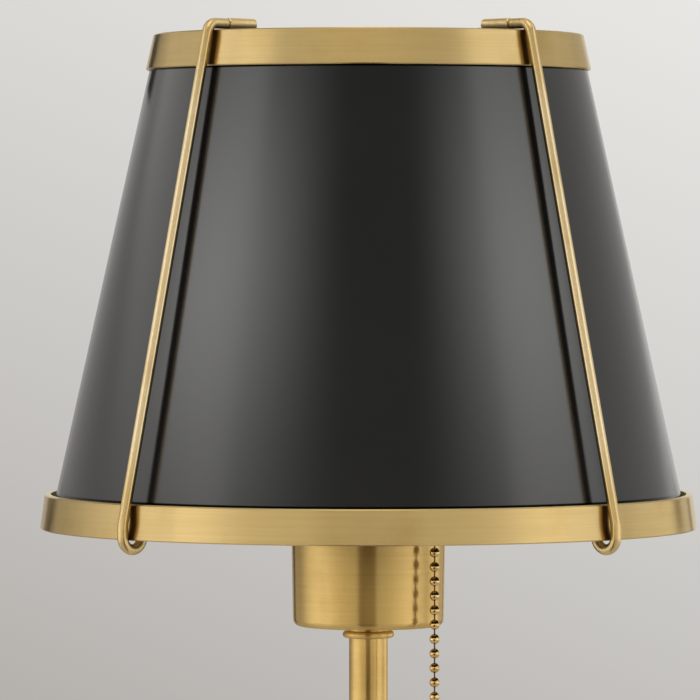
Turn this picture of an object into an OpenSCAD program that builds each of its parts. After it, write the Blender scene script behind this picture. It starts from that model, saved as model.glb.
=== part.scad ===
// Wall lamp: a swing arm carries a stem, a pull-switch lampholder and a conical shade in a rod cage.
// Millimetres, +Z up. The wall is the plane y = 0, and the lamp reaches out from it along -Y.
// The origin is the middle of the wall plate's back, at the height of the arm.

/* [Shade] */
// Height from the bottom band's lower edge to the top band's upper edge
shade_h = 151.7; // [130:0.1:180]
// Outer diameter of the cone, carried down to the bottom band's lower edge
shade_bottom_d = 197; // [190:0.5:210]
// Outer diameter of the cone at the top band's upper edge
shade_top_d = 130; // [122:0.5:150]
// Sheet thickness of the cone and its top flange
shade_wall = 0.9; // [0.6:0.1:1.4]
// Width of the flange turned in round the top
flange_w = 21; // [18:0.5:24]
// Height of the shade's lower edge above the arm
shade_rise = 130; // [115:1:200]

/* [Bands] */
// Height of the top band
top_band_h = 10.9; // [7:0.1:15]
// Thickness of the top band
top_band_wall = 1.05; // [0.6:0.05:1.6]
// Height of the bottom band
bottom_band_h = 10.6; // [8.5:0.1:15]
// Thickness of the bottom band
bottom_band_wall = 1.8; // [1:0.1:2.2]
// Gap between the cone and the bottom band, at the band's lower edge
bottom_band_gap = 0.8; // [0.5:0.1:2]
// How much smaller the bottom band's radius is at its upper edge
bottom_band_draw = 1.4; // [0.5:0.1:1.9]
// Thickness of the lip under the cone's lower edge
band_lip = 1.2; // [0.8:0.1:2]
// Width of the small bevel along the bands' outer edges
band_bevel = 0.35; // [0.1:0.05:0.5]

/* [Cage rods] */
// Diameter of the bent rods
rod_d = 3.2; // [2.4:0.1:3.4]
// Gap between a rod and the lower edge of the top band
rod_top_gap = 0.6; // [0.6:0.05:2]
// Gap between a rod and the bottom band
rod_bottom_gap = 0.2; // [0.15:0.05:1.5]
// Centreline radius of the bend over the top band
rod_top_bend = 3.2; // [2.6:0.1:3.5]
// Centreline radius of the slight bend beside the bottom band
rod_low_bend = 12; // [8:1:30]
// Gap between the upturned end of the hook under the bottom band and the cone's inside
hook_leg_gap = 0.25; // [0.15:0.05:1.5]
// Height of the hook's centre above the bottom band's lower edge
hook_centre_h = 1.1; // [0.6:0.1:1.4]
// Height of the hook's upturned end
hook_end_h = 3; // [2.2:0.1:3.2]
// Diameter of the ferrules on the rods' upper ends
ferrule_d = 3.5; // [3.4:0.1:4]
// Length of a ferrule
ferrule_len = 11; // [8:0.5:12]
// Distance from the lamp's axis to a ferrule's inner end
ferrule_in_r = 49; // [47:0.5:50]
// Gap between a ferrule and the rod's shoulder
ferrule_gap = 0.3; // [0.1:0.05:0.5]
// Diameter of the stud under a ferrule
ferrule_stud_d = 2; // [1.6:0.1:2.4]
// Diameter of the turned-down rod end inside a ferrule
spigot_d = 1.8; // [1.2:0.1:1.9]
// Length of that rod end
spigot_len = 4; // [3:0.5:4]

/* [Cup and stem] */
// Outer diameter of the cup above its bottom corner
cup_d = 46.6; // [43:0.2:50]
// How much larger the cup's radius is at its rim
cup_flare = 0.55; // [0:0.05:1]
// Distance of the cup's bottom below the shade's lower edge
cup_drop = 30.3; // [28:0.1:34]
// Overall height of the cup
cup_h = 32.3; // [30:0.1:33]
// Sheet thickness of the cup
cup_wall = 0.9; // [0.6:0.1:1.4]
// Radius of the cup's bottom corner
cup_corner = 2.2; // [1.6:0.1:4]
// Outer diameter of the stem tube
stem_d = 12; // [11.5:0.1:13]
// Wall of the stem tube
stem_wall = 0.9; // [0.7:0.05:0.9]
// Diameter of the half-round collar under the cup
collar_d = 16; // [15:0.5:19]
// Height of the collar's half-round bead
collar_bead_h = 2.2; // [1.6:0.1:3]
// Diameter of the collar's neck
collar_neck_d = 13; // [12:0.5:14]
// Height of the collar's neck
collar_neck_h = 1.5; // [0.8:0.1:3]

/* [Lampholder] */
// Diameter of the hollow threaded nipple
nipple_d = 10; // [9:0.1:10]
// Bore of the nipple
nipple_bore = 7; // [5:0.5:7.5]
// Width across the flats of the nut on the nipple
nipple_nut_af = 14; // [13:0.5:17]
// Thickness of the nut on the nipple
nipple_nut_t = 4; // [3:0.5:5]
// Diameter of the lampholder's base
base_d = 35; // [33:0.5:38]
// Height of the base's underside
base_low_h = -22; // [-24:0.5:-20]
// Height of the base's top
base_high_h = 16; // [15:0.5:18]
// Diameter of the threaded skirt
skirt_d = 36; // [34:0.5:38]
// Diameter of the skirt's flange
skirt_flange_d = 43; // [41:0.5:45]
// Thickness of the skirt's flange
skirt_flange_t = 2; // [1.5:0.1:3]
// Length of the skirt above the base
skirt_len = 28; // [26:0.5:32]
// Diameter of the well that holds the screw shell
well_d = 29.2; // [28.6:0.1:30]
// Thickness of the well's floor
well_floor = 4; // [3:0.5:5]
// Thickness of the screw shell
shell_wall = 0.8; // [0.5:0.05:0.9]
// Outer diameter of the shade ring
shade_ring_d = 46; // [44:0.5:50]
// Height of the shade ring
shade_ring_h = 6; // [4:0.5:8]
// Number of grip notches round the shade ring
ring_notches = 24; // [12:1:30]
// Thickness of the spider
spider_t = 1.6; // [1.2:0.1:2.5]
// Outer diameter of the spider's hub
spider_hub_d = 50; // [48:0.5:54]
// Width of a spider arm
spider_arm_w = 6; // [4:0.5:9]
// Height of the tabs that carry the shade
spider_tab_h = 9; // [6:0.5:14]

/* [Bulb] */
// Largest diameter of the glass
bulb_d = 60; // [55:1:64]
// Overall length of the bulb
bulb_len = 105; // [100:1:115]
// Diameter of the screw cap
cap_d = 26.2; // [25.8:0.1:26.4]
// Height of the screw cap
cap_h = 22; // [20:0.5:24]
// Thickness of the glass
glass_wall = 0.8; // [0.5:0.1:1.2]
// Diameter of the glass neck
glass_neck_d = 27; // [26:0.5:29]

/* [Pull switch] */
// Distance of the hanging chain from the lamp's axis
chain_r = 28.4; // [28:0.1:30]
// Direction of the chain round the lamp, from the right-hand side
chain_turn = -45; // [-55:1:-35]
// Distance of the lever's pin from the lamp's axis
lever_pin_r = 6; // [5:0.5:7]
// Height of the lever's pin
lever_pin_h = 9; // [8.5:0.1:9.5]
// Diameter of the lever's pin
lever_pin_d = 2; // [1.5:0.1:2.2]
// Angle of the lever above level at rest, and below level when pulled
lever_tilt = 10; // [6:0.5:12]
// Thickness of the lever
lever_t = 1.6; // [1.2:0.1:1.8]
// Height of the lever's blade
lever_blade = 2.6; // [2:0.1:3]
// Thickness of the lever's fork
fork_t = 0.9; // [0.7:0.1:1]
// Width of the lever's fork
fork_w = 6; // [5:0.5:7]
// Width of the slot in the fork
fork_slot_w = 1.6; // [1.3:0.1:1.8]
// Wire diameter of the return spring
spring_wire = 0.5; // [0.4:0.05:0.6]
// Mean diameter of the return spring
spring_d = 3.8; // [3.6:0.1:4.2]
// Turns of the return spring
spring_turns = 2.5; // [2:0.5:2.5]

/* [Pull chain] */
// Diameter of a chain bead
bead_d = 3.1; // [2.8:0.1:3.2]
// Distance from one bead to the next
bead_pitch = 4.4; // [4.4:0.05:5]
// Number of beads below the swivel
bead_count = 35; // [20:1:38]
// Diameter of the wire between the beads
link_d = 0.5; // [0.4:0.05:0.8]
// Distance from the head bead to the swivel
head_link = 7.6; // [6:0.1:8.5]
// Outer diameter of the swivel bead
swivel_d = 4; // [3.9:0.1:4.6]
// Wall of the swivel bead
swivel_wall = 0.4; // [0.3:0.05:0.4]
// Angle that the chain can swing to each side
chain_swing = 30; // [20:1:35]
// Diameter of the end weight at its mouth
weight_d = 8; // [7:0.5:12]
// Length of the end weight
weight_len = 13; // [11:0.5:18]

/* [Swing arm] */
// Distance from the wall to the swing axis
post_reach = 55; // [50:1:80]
// Distance from the swing axis to the stem
arm_reach = 135; // [120:1:220]
// Outer diameter of the arm tube
arm_d = 12; // [10:0.5:13]
// Wall of the arm tube
arm_wall = 1; // [0.8:0.1:1.5]
// Diameter of the knuckle's barrel
barrel_d = 19; // [16:0.5:22]
// Height of the knuckle's barrel
barrel_h = 14; // [13:0.5:18]
// Diameter of the sleeves that hold the tubes
sleeve_d = 16; // [15:0.5:18]
// Depth that a tube goes into its sleeve
tube_seat = 10; // [8:0.5:12]
// Diameter of the elbow's ball
elbow_d = 24; // [22:0.5:28]
// Diameter of the wire passage through the arm and post
passage_d = 6; // [4:0.5:6]
// Length of the finial below the elbow
finial_len = 24; // [18:0.5:40]
// Diameter of the finial's ball
finial_d = 11; // [10:0.5:14]

/* [Swing joint] */
// Diameter of the pivot pin
pin_d = 6; // [5:0.1:7]
// Thickness of each lug of the fork
lug_t = 5; // [4:0.5:7]
// Thickness of a thrust washer
washer_t = 0.5; // [0.4:0.1:1]
// Gap between the barrel and the fork's web
web_gap = 1.5; // [1:0.1:3]
// Thickness of the fork's web
web_t = 5; // [4:0.5:8]
// Diameter of the domed pin head and pin nut
pin_head_d = 13; // [11:0.5:16]
// Height of the domed pin head and pin nut
pin_head_h = 5; // [4:0.5:7]

/* [Wall plate] */
// Diameter of the wall plate
plate_d = 120; // [115:1:140]
// Depth of the wall plate
plate_depth = 16; // [14:0.5:22]
// Depth of the plate's outer step
plate_step = 8; // [6:0.5:10]
// Diameter of the plate's raised middle
plate_middle_d = 104; // [100:1:108]
// Sheet thickness of the plate
plate_wall = 1.2; // [0.8:0.1:2]
// Diameter of the post
post_d = 16; // [14:0.5:18]
// Diameter of the post's foot ring
foot_d = 27; // [24:0.5:34]
// Height of the post's foot ring
foot_h = 5; // [4:0.5:7]
// Diameter of the post's threaded tail
tail_d = 10; // [9:0.5:12]
// Width across the flats of the nut on the tail
tail_nut_af = 17; // [16:0.5:19]
// Thickness of the nut on the tail
tail_nut_t = 4; // [3:0.5:5]

/* [Wall bracket] */
// Metal beyond the outer end of a screw slot
slot_end = 5; // [3:0.5:6]
// Width of the bracket's bars
bracket_w = 24; // [22:1:28]
// Thickness of the bracket
bracket_t = 2; // [1.5:0.1:3]
// Distance between the centres of the screw slots
slot_spacing = 74; // [70:1:76]
// Length of a screw slot
slot_len = 20; // [14:1:21]
// Width of a screw slot
slot_w = 4.6; // [4:0.1:5.5]
// Diameter of the opening for the supply
supply_d = 16; // [12:1:18]
// Distance between the two plate studs
stud_spacing = 70; // [66:1:76]
// Diameter of the plate studs
stud_d = 4; // [3:0.5:5]
// Diameter of the cap nuts
cap_nut_d = 10; // [9:0.5:12]
// Height of the cap nuts
cap_nut_h = 7; // [6:0.5:9]
// Diameter of the earth screw's head
earth_head_d = 7; // [6:0.5:8]

/* [Clearances] */
// Gap between pieces that seat on each other
seat = 0.1; // [0.05:0.01:0.15]
// Radial clearance of a running pin
slip = 0.05; // [0.03:0.01:0.08]

/* [Hidden] */
$fn = 96;
corners = ["front_right", "back_right", "back_left", "front_left"];

// Colours
brass = [0.77, 0.61, 0.33];
black = [0.07, 0.07, 0.075];
steel = [0.72, 0.73, 0.74];
phenolic = [0.12, 0.1, 0.09];
glass_white = [0.95, 0.94, 0.9, 0.6];
earth_green = [0.2, 0.5, 0.28];
bronze = [0.6, 0.44, 0.25];

// Shade and bands
cone_slope = (shade_bottom_d - shade_top_d) / 2 / shade_h;
function cone_r(h) = shade_bottom_d / 2 - cone_slope * h;
function cone_in_r(h) = cone_r(h) - shade_wall;
function top_band_r(h) = cone_r(h) + seat + top_band_wall;
top_band_low_h = shade_h - top_band_h;
bottom_band_r = shade_bottom_d / 2 + bottom_band_gap + bottom_band_wall;
function bottom_band_out(h) = bottom_band_r - bottom_band_draw * h / bottom_band_h;
lip_r = cone_in_r(band_lip);
flange_in_r = cone_r(shade_h) - flange_w;

// A rod's outline in its upright plane: level run, top bend, slanted run, low bend, upright run and hook.
// The slanted run passes a mark beside each band, and the low bend rounds its corner with the upright run.
rod_r = rod_d / 2;
ferrule_h = shade_h + seat + ferrule_d / 2;
ferrule_out_r = ferrule_in_r + ferrule_len;
rod_shoulder_r = ferrule_out_r + ferrule_gap;
rod_foot_r = bottom_band_r + rod_bottom_gap + rod_r;
high_mark = [top_band_r(top_band_low_h) + rod_top_gap + rod_r, top_band_low_h];
low_mark = [bottom_band_out(bottom_band_h) + rod_bottom_gap + rod_r, bottom_band_h];
rod_lean = atan2(low_mark.x - high_mark.x, high_mark.y - low_mark.y);
lean_out = [cos(rod_lean), sin(rod_lean)];
low_corner_h = bottom_band_h - bottom_band_draw / tan(rod_lean);
low_bend_h = low_corner_h - rod_low_bend * tan(rod_lean / 2);
low_bend_at = [rod_foot_r - rod_low_bend, low_bend_h];
slant_low = low_bend_at + rod_low_bend * lean_out;
top_bend_h = ferrule_h - rod_top_bend;
slant_high_h = top_bend_h + rod_top_bend * sin(rod_lean);
slant_high = [high_mark.x - (slant_high_h - high_mark.y) * tan(rod_lean), slant_high_h];
top_bend_at = slant_high - rod_top_bend * lean_out;
hook_leg_r = cone_in_r(hook_end_h) - hook_leg_gap - rod_r;
hook_bend = (rod_foot_r - hook_leg_r) / 2;
hook_at = [rod_foot_r - hook_bend, hook_centre_h];
ferrule_stud_r = ferrule_in_r + ferrule_len * 0.3;
ferrule_nut_t = 1.6;
ferrule_nut_af = ferrule_stud_d * 2;
ferrule_bevel = 0.4;
bend_swell = 0.04;
bend_overlap = 0.15;

// Lampholder, measured from the shade's lower edge
cup_floor_h = cup_wall - cup_drop;
collar_low_h = -cup_drop - collar_neck_h - collar_bead_h;
stem_top_h = collar_low_h - seat;
nipple_in_stem = 14;
nipple_in_base = 8;
nipple_low_h = collar_low_h - nipple_in_stem;
nipple_high_h = base_low_h + nipple_in_base;
skirt_low_h = base_high_h + seat;
flange_top_h = skirt_low_h + skirt_flange_t;
skirt_top_h = skirt_low_h + skirt_len;
well_low_h = skirt_low_h + well_floor;
spider_h = flange_top_h + seat;
spider_top_h = spider_h + spider_t;
shell_opening_d = 16;
contact_rise = 2;
contact_t = 0.4;
contact_w = 5;
bulb_seat_h = well_low_h + seat + contact_rise + contact_t + seat;
bulb_tip_h = 0.8;
insulator_h = 2.4;
cap_low_h = bulb_seat_h + bulb_tip_h + insulator_h;
cap_top_h = cap_low_h + cap_h;
bulb_top_h = bulb_seat_h + bulb_len;
globe_h = bulb_top_h - bulb_d / 2;
glass_in_cap = 4;
cap_wall = 0.5;
globe_join = -28;

// Pull switch and chain, in the upright plane of the chain
lever_len = (chain_r - lever_pin_r) / cos(lever_tilt);
fork_h = lever_pin_h + lever_len * sin(lever_tilt);
fork_reach = 3;
fork_root = 4;
fork_cut = lever_blade + 1;
lever_hub_d = lever_pin_d + 3.6;
pocket_w = 8;
pocket_len = 12;
pocket_low_h = lever_pin_h - 6;
pin_bore_depth = 2.2;
spring_sides = 6;
spring_rings = 8;
spring_pitch = spring_wire + 0.5;
spring_gap = 0.3;
bead_r = bead_d / 2;
link_r = link_d / 2;
head_bead_h = fork_h + bead_r + 0.15;
swivel_h = head_bead_h - head_link;
swivel_r = swivel_d / 2;
knob_r = link_r + 0.2;
knob_off = knob_r + 0.1;
first_bead_h = swivel_h - swivel_r - (bead_pitch - bead_d) - bead_r;
last_bead_h = first_bead_h - (bead_count - 1) * bead_pitch;
weight_bore_d = bead_d + 0.6;
weight_cap = 0.9;
weight_top_h = last_bead_h + bead_r + seat + weight_cap;

// Swing joint
barrel_half = barrel_h / 2;
fork_half = barrel_half + washer_t + 2 * seat;
lug_out_z = fork_half + lug_t;
lug_d = barrel_d + 1;
web_front = barrel_d / 2 + web_gap;
web_back = web_front + web_t;
neck_d = barrel_h - 1;
sleeve_start = lug_d / 2 + 2.5;
sleeve_floor = sleeve_start + 2;
sleeve_end = sleeve_floor + tube_seat;
elbow_floor = elbow_d / 2 - 1;
elbow_sleeve_end = elbow_floor + tube_seat;
elbow_flat = elbow_d / 2 - 1;
finial_spigot_d = 6;
finial_spigot_len = 5;
pin_thread_len = pin_head_h - 2;
pin_head_rim = 1.5;

// Wall plate and bracket
plate_face = plate_depth + seat;
tail_low = plate_depth - plate_wall - seat - tail_nut_t - 1.5;
bracket_len = slot_spacing + slot_len + 2 * slot_end;
stud_bore = stud_d + 2 * slip;
stud_back = 0.2;
stud_front = plate_face + cap_nut_h - 2.5;
cap_nut_rim = 2;
earth_head_h = 2.4;
earth_slot = 1;
earth_x = (supply_d / 2 + slot_spacing / 2 - slot_len / 2) / 2;

// Places the children at the foot of the shade, on the lamp's axis
module at_lamp() translate([0, -post_reach - arm_reach, shade_rise]) children();

// Places the children at the foot of the shade, with +X towards the chain
module at_chain() at_lamp() rotate([0, 0, chain_turn]) children();

// Places the children on the swing axis
module at_pivot() translate([0, -post_reach, 0]) children();

// Turns a shape that stands on +Z so that it stands out from the wall
module out_from_wall() rotate([90, 0, 0]) children();

// A round bar with an optional bore, from one height to another
module bar(d, low, high) translate([0, 0, low]) cylinder(d = d, h = high - low);

module tube(d, bore, low, high) {
    difference() {
        bar(d, low, high);
        bar(bore, low - 1, high + 1);
    }
}

module hex_nut(af, bore, low, high) {
    difference() {
        translate([0, 0, low]) cylinder(d = af / cos(30), h = high - low, $fn = 6);
        bar(bore, low - 1, high + 1);
    }
}

// A disc whose upper edge is rounded
module rounded_disc(d, h, edge) {
    rotate_extrude() {
        square([d / 2 - edge, h]);
        square([d / 2, h - edge]);
        intersection() {
            translate([d / 2 - edge, h - edge]) circle(r = edge);
            translate([d / 2 - edge, h - edge]) square(edge);
        }
    }
}

// A head with a straight rim and a low dome on it
module domed_head(d, h, rim) {
    rise = h - rim;
    ball_r = (d * d / 4 + rise * rise) / (2 * rise);
    cylinder(d = d, h = rim);
    intersection() {
        translate([0, 0, h - ball_r]) sphere(r = ball_r);
        translate([0, 0, rim]) cylinder(d = d + 1, h = h);
    }
}

// Wall bracket and plate
module slot(len, w, h) {
    half = (len - w) / 2;
    for (side = [-1, 1]) translate([side * half, 0, 0]) cylinder(d = w, h = h);
    translate([-half, -w / 2, 0]) cube([2 * half, w, h]);
}

module wall_bracket() color(steel) out_from_wall() difference() {
    union() {
        slot(bracket_len, bracket_w, bracket_t);
        rotate([0, 0, 90]) slot(stud_spacing + bracket_w / 2, bracket_w, bracket_t);
    }
    translate([0, 0, -1]) {
        cylinder(d = supply_d, h = bracket_t + 2);
        for (side = [-1, 1]) {
            translate([side * slot_spacing / 2, 0, 0]) slot(slot_len, slot_w, bracket_t + 2);
            translate([0, side * stud_spacing / 2, 0]) cylinder(d = stud_bore, h = bracket_t + 2);
        }
        translate([earth_x, 0, 0]) cylinder(d = stud_bore, h = bracket_t + 2);
    }
}

module earth_screw() {
    head_at = bracket_t + seat;
    color(earth_green) out_from_wall() translate([earth_x, 0, 0]) difference() {
        union() {
            bar(stud_d, stud_back, head_at + 0.5);
            translate([0, 0, head_at]) rounded_disc(earth_head_d, earth_head_h, 0.8);
        }
        translate([-earth_slot / 2, -earth_head_d, head_at + earth_head_h - earth_slot]) {
            cube([earth_slot, 2 * earth_head_d, earth_head_h]);
        }
    }
}

module at_studs() {
    out_from_wall() for (side = [-1, 1]) translate([0, side * stud_spacing / 2, 0]) children();
}

module plate_studs() color(steel) at_studs() bar(stud_d, stud_back, stud_front);

module cap_nuts() color(brass) at_studs() difference() {
    translate([0, 0, plate_face]) {
        domed_head(cap_nut_d, cap_nut_h, cap_nut_rim);
    }
    bar(stud_bore, plate_face - 1, stud_front + 3 * seat);
}

module wall_plate() color(brass) out_from_wall() difference() {
    union() {
        rounded_disc(plate_d, plate_step, 2);
        rounded_disc(plate_middle_d, plate_depth, 3);
    }
    bar(plate_d - 2 * plate_wall, -1, plate_step - plate_wall);
    bar(plate_middle_d - 2 * plate_wall, -1, plate_depth - plate_wall);
    bar(tail_d + 2 * seat, 0, plate_depth + 1);
    for (side = [-1, 1]) {
        translate([0, side * stud_spacing / 2, 0]) bar(stud_d + 4 * seat, 0, plate_depth + 1);
    }
}

module post_nut() {
    high = plate_depth - plate_wall - seat;
    color(steel) out_from_wall() hex_nut(tail_nut_af, tail_d + 2 * slip, high - tail_nut_t, high);
}

// Post with a fork at its outer end
module fork_post() color(brass) difference() {
    union() {
        out_from_wall() {
            bar(tail_d, tail_low, plate_face + 1);
            bar(post_d, plate_face, post_reach - web_back + 1);
            translate([0, 0, plate_face]) rounded_disc(foot_d, foot_h, 2.4);
        }
        at_pivot() bar(lug_d, -lug_out_z, lug_out_z);
        at_pivot() translate([-lug_d / 2, 0, -lug_out_z]) cube([lug_d, web_back, 2 * lug_out_z]);
    }
    at_pivot() translate([-lug_d, web_front - 2 * lug_d, -fork_half]) {
        cube([2 * lug_d, 2 * lug_d, 2 * fork_half]);
    }
    at_pivot() bar(pin_d + 2 * slip, -lug_out_z - 1, lug_out_z + 1);
    out_from_wall() bar(passage_d, tail_low - 1, post_reach - web_front + 1);
}

module pivot_pin() color(brass) at_pivot() {
    bar(pin_d, -lug_out_z - seat - pin_thread_len, lug_out_z + seat + 1);
    translate([0, 0, lug_out_z + seat]) {
        domed_head(pin_head_d, pin_head_h, pin_head_rim);
    }
}

module pin_nut() color(brass) at_pivot() mirror([0, 0, 1]) difference() {
    translate([0, 0, lug_out_z + seat]) {
        domed_head(pin_head_d, pin_head_h, pin_head_rim);
    }
    bar(pin_d + 2 * slip, 0, lug_out_z + seat + pin_thread_len + seat);
}

module thrust_washers() color(bronze) at_pivot() {
    for (side = [0, 1]) mirror([0, 0, side]) {
        tube(barrel_d, pin_d + 4 * slip, barrel_half + seat, barrel_half + seat + washer_t);
    }
}

// Swing arm: a knuckle on the pin, a level tube and a ball elbow under the stem
module arm_knuckle() color(brass) at_pivot() difference() {
    union() {
        bar(barrel_d, -barrel_half, barrel_half);
        out_from_wall() bar(neck_d, 0, sleeve_start + 1);
        out_from_wall() bar(sleeve_d, sleeve_start, sleeve_end);
    }
    bar(pin_d + 2 * slip, -barrel_h, barrel_h);
    out_from_wall() {
        bar(arm_d + 2 * seat, sleeve_floor, sleeve_end + 1);
        bar(passage_d, pin_d / 2, sleeve_floor + 1);
    }
}

module arm_tube() color(brass) at_pivot() out_from_wall() {
    tube(arm_d, arm_d - 2 * arm_wall, sleeve_floor + seat, arm_reach - elbow_floor - seat);
}

module elbow() color(brass) translate([0, -post_reach - arm_reach, 0]) difference() {
    union() {
        sphere(d = elbow_d);
        bar(sleeve_d, 0, elbow_sleeve_end);
        rotate([-90, 0, 0]) bar(sleeve_d, 0, elbow_sleeve_end);
    }
    bar(stem_d + 2 * seat, elbow_floor, elbow_sleeve_end + 1);
    bar(passage_d, 0, elbow_floor + 1);
    rotate([-90, 0, 0]) {
        bar(arm_d + 2 * seat, elbow_floor, elbow_sleeve_end + 1);
        bar(passage_d, 0, elbow_floor + 1);
    }
    sphere(d = passage_d);
    bar(elbow_d, -elbow_d, -elbow_flat);
    bar(finial_spigot_d + 2 * slip, -elbow_d, -elbow_flat + finial_spigot_len + 1);
}

// Turned finial: a disc against the elbow, a neck, a ball and a small tip
module finial() color(brass) translate([0, -post_reach - arm_reach, -elbow_flat - seat]) {
    disc_h = 2;
    tip_len = 3;
    tip_sunk = 0.6;
    ball_at = finial_len - tip_len - finial_d / 2;
    mirror([0, 0, 1]) {
        bar(finial_spigot_d, -finial_spigot_len, 1);
        rounded_disc(finial_d + 2, disc_h, 0.8);
        bar(finial_d * 0.55, disc_h / 2, ball_at);
        translate([0, 0, ball_at]) sphere(d = finial_d);
        translate([0, 0, finial_len - tip_len - tip_sunk]) {
            cylinder(d1 = finial_d * 0.4, d2 = finial_d * 0.22, h = tip_len + tip_sunk);
        }
    }
}

module stem_tube() color(brass) translate([0, -post_reach - arm_reach, 0]) {
    tube(stem_d, stem_d - 2 * stem_wall, elbow_floor + seat, shade_rise + stem_top_h);
}

// Collar: a plain neck under the cup and a half-round bead on the stem's top
module stem_collar() color(brass) at_lamp() difference() {
    union() {
        bar(collar_neck_d, collar_low_h, -cup_drop - seat);
        translate([0, 0, collar_low_h]) rotate_extrude() {
            square([collar_d / 2 - collar_bead_h / 2, collar_bead_h]);
            translate([collar_d / 2 - collar_bead_h / 2, collar_bead_h / 2]) circle(d = collar_bead_h);
        }
    }
    bar(nipple_d + 2 * seat, collar_low_h - 1, 0);
}

// Spun cup with a round bottom corner and a slight flare
module cup_profile(r, flare, h, corner) {
    intersection() {
        translate([0, -0.001]) polygon([[0, 0], [r, 0], [r + flare, h], [0, h]]);
        union() {
            translate([0, corner]) square([2 * r, h]);
            square([r - corner, h]);
            translate([r - corner, corner]) circle(r = corner);
        }
    }
}

module socket_cup() color(brass) at_lamp() translate([0, 0, -cup_drop]) difference() {
    rotate_extrude() difference() {
        cup_profile(cup_d / 2, cup_flare, cup_h, cup_corner);
        translate([0, cup_wall]) {
            cup_profile(cup_d / 2 - cup_wall, cup_flare, cup_h, cup_corner - cup_wall);
        }
    }
    bar(nipple_d + 2 * seat, -1, cup_wall + 1);
}

module nipple() color(steel) at_lamp() tube(nipple_d, nipple_bore, nipple_low_h, nipple_high_h);

module nipple_nut() {
    low = cup_floor_h + seat;
    color(steel) at_lamp() hex_nut(nipple_nut_af, nipple_d + 2 * slip, low, low + nipple_nut_t);
}

// Lampholder base with the switch pocket and the lever's slot
module socket_base() color(phenolic) difference() {
    at_lamp() difference() {
        bar(base_d, base_low_h, base_high_h);
        bar(nipple_d + 2 * seat, base_low_h - 1, nipple_high_h + seat);
        bar(nipple_bore, base_low_h, pocket_low_h + 1);
    }
    at_chain() translate([lever_pin_r, 0, pocket_low_h]) {
        translate([-pocket_len / 2, -pocket_w / 2, 0]) cube([pocket_len, pocket_w, base_d]);
        translate([0, -lever_t, 0]) cube([base_d, 2 * lever_t, base_d]);
    }
    at_chain() translate([lever_pin_r, 0, lever_pin_h]) rotate([90, 0, 0]) {
        half = pocket_w / 2 + pin_bore_depth;
        bar(lever_pin_d + 2 * slip, -half, half);
    }
}

module socket_skirt() color(phenolic) at_lamp() difference() {
    union() {
        bar(skirt_flange_d, skirt_low_h, flange_top_h);
        bar(skirt_d, skirt_low_h, skirt_top_h);
    }
    bar(well_d, well_low_h, skirt_top_h + 1);
}

// Screw shell with a floor that has an opening for the contact
module screw_shell() color(brass) at_lamp() difference() {
    bar(well_d - 2 * seat, well_low_h + seat, skirt_top_h - 1);
    bar(well_d - 2 * seat - 2 * shell_wall, well_low_h + seat + shell_wall, skirt_top_h);
    bar(shell_opening_d, well_low_h, skirt_top_h);
}

// Springy contact tongue: a flat foot and a slanted blade
module centre_contact() {
    foot_end = -7;
    bend = -4;
    crest = 1;
    tip = 4;
    high = contact_rise + contact_t;
    color(brass) at_lamp() translate([0, contact_w / 2, well_low_h + seat]) rotate([90, 0, 0]) {
        linear_extrude(height = contact_w) polygon([
            [foot_end, 0], [bend, 0], [crest, contact_rise], [tip, contact_rise],
            [tip, high], [crest, high], [bend, contact_t], [foot_end, contact_t]
        ]);
    }
}

module shade_ring() color(brass) at_lamp() difference() {
    tube(shade_ring_d, skirt_d + 3 * seat, spider_top_h + seat, spider_top_h + seat + shade_ring_h);
    for (i = [0 : ring_notches - 1]) rotate([0, 0, i * 360 / ring_notches]) {
        translate([shade_ring_d / 2 + 0.6, 0, 0]) bar(3, spider_top_h, spider_top_h + shade_ring_h + 1);
    }
}

// Spider: a hub ring, four level arms and four tabs that lie along the inside of the cone
module shade_spider() color(brass) at_lamp() {
    arm_end = cone_in_r(spider_h) - seat - 1;
    tab_turn = 2 * asin(spider_arm_w / 2 / arm_end);
    tube(spider_hub_d, skirt_d + 4 * seat, spider_h, spider_top_h);
    for (turn = [0 : 90 : 270]) rotate([0, 0, turn]) {
        difference() {
            translate([skirt_d / 2 + 1, -spider_arm_w / 2, spider_h]) {
                cube([arm_end - skirt_d / 2 - 1, spider_arm_w, spider_t]);
            }
            bar(skirt_d + 4 * seat, spider_h - 1, spider_top_h + 1);
        }
        rotate([0, 0, -tab_turn / 2]) rotate_extrude(angle = tab_turn) polygon([
            for (h = [spider_h, spider_h + spider_tab_h]) [cone_in_r(h) - seat - spider_t, h],
            for (h = [spider_h + spider_tab_h, spider_h]) [cone_in_r(h) - seat, h]
        ]);
    }
}

// Shade and bands
module shade() {
    low = band_lip + seat;
    under_flange = shade_h - shade_wall;
    color(black) at_lamp() difference() {
        rotate_extrude() polygon([
            [cone_r(low), low], [cone_r(shade_h), shade_h],
            [flange_in_r, shade_h], [flange_in_r, under_flange],
            [cone_in_r(under_flange), under_flange], [cone_in_r(low), low]
        ]);
        at_corners() translate([ferrule_stud_r, 0, 0]) bar(ferrule_stud_d + 2 * seat, 0, shade_h + 1);
    }
}

module top_band() {
    low = top_band_low_h;
    color(brass) at_lamp() rotate_extrude() polygon([
        [cone_r(low) + seat, low], [top_band_r(low) - band_bevel, low],
        [top_band_r(low + band_bevel), low + band_bevel],
        [top_band_r(shade_h - band_bevel), shade_h - band_bevel],
        [top_band_r(shade_h) - band_bevel, shade_h], [cone_r(shade_h) + seat, shade_h]
    ]);
}

module bottom_band() {
    high = bottom_band_h;
    color(brass) at_lamp() rotate_extrude() polygon([
        [lip_r, 0], [bottom_band_r - band_bevel, 0], [bottom_band_out(band_bevel), band_bevel],
        [bottom_band_out(high - band_bevel), high - band_bevel],
        [bottom_band_out(high) - band_bevel, high], [bottom_band_out(high) - bottom_band_wall, high],
        [bottom_band_out(band_lip) - bottom_band_wall, band_lip], [lip_r, band_lip]
    ]);
}

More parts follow.
